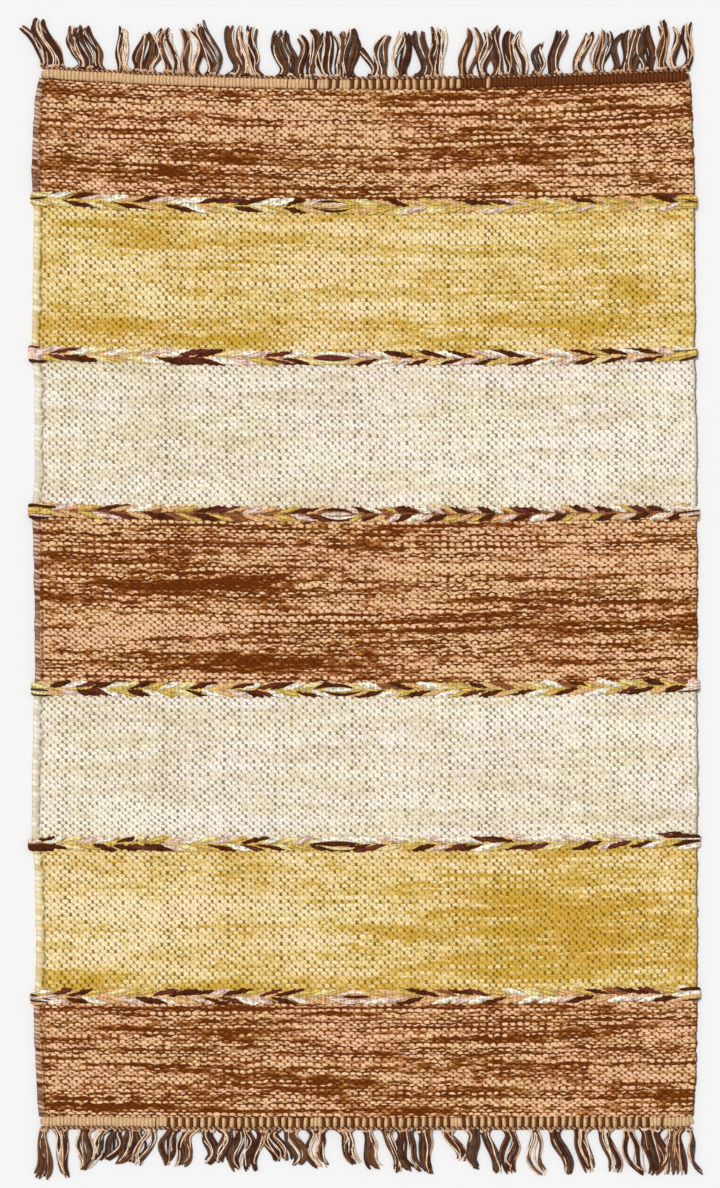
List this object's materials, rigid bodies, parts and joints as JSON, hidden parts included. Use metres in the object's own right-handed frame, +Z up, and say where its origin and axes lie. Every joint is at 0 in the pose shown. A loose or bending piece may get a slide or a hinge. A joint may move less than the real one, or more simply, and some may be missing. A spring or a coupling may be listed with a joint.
{
  "type": "dhurrie rug",
  "caption": "Flat-woven cotton floor rug with crossways stripes, twined braids between them, a heading cord across each end and a knotted fringe of warp ends.",
  "frame": {"origin": "on the floor, in the middle of the woven ground's underside", "axes": "+Y along the warp towards the far fringe, +X across the stripes' width to the right, +Z up out of the face"},
  "size_m": [0.6203, 1.0459, 0.007],
  "materials": {
    "ground_cotton": "matte woven cotton",
    "braid_cotton": "matte twined cotton",
    "heading_cotton": "matte corded cotton",
    "fringe_cotton": "matte twisted cotton"
  },
  "bodies": {
    "root": {"woven_ground": "ground_cotton", "braid_1": "braid_cotton", "braid_2": "braid_cotton", "braid_3": "braid_cotton", "braid_4": "braid_cotton", "braid_5": "braid_cotton", "braid_6": "braid_cotton", "heading_far": "heading_cotton", "heading_near": "heading_cotton", "fringe_far": "fringe_cotton", "fringe_near": "fringe_cotton"}
  },
  "joints": []
}
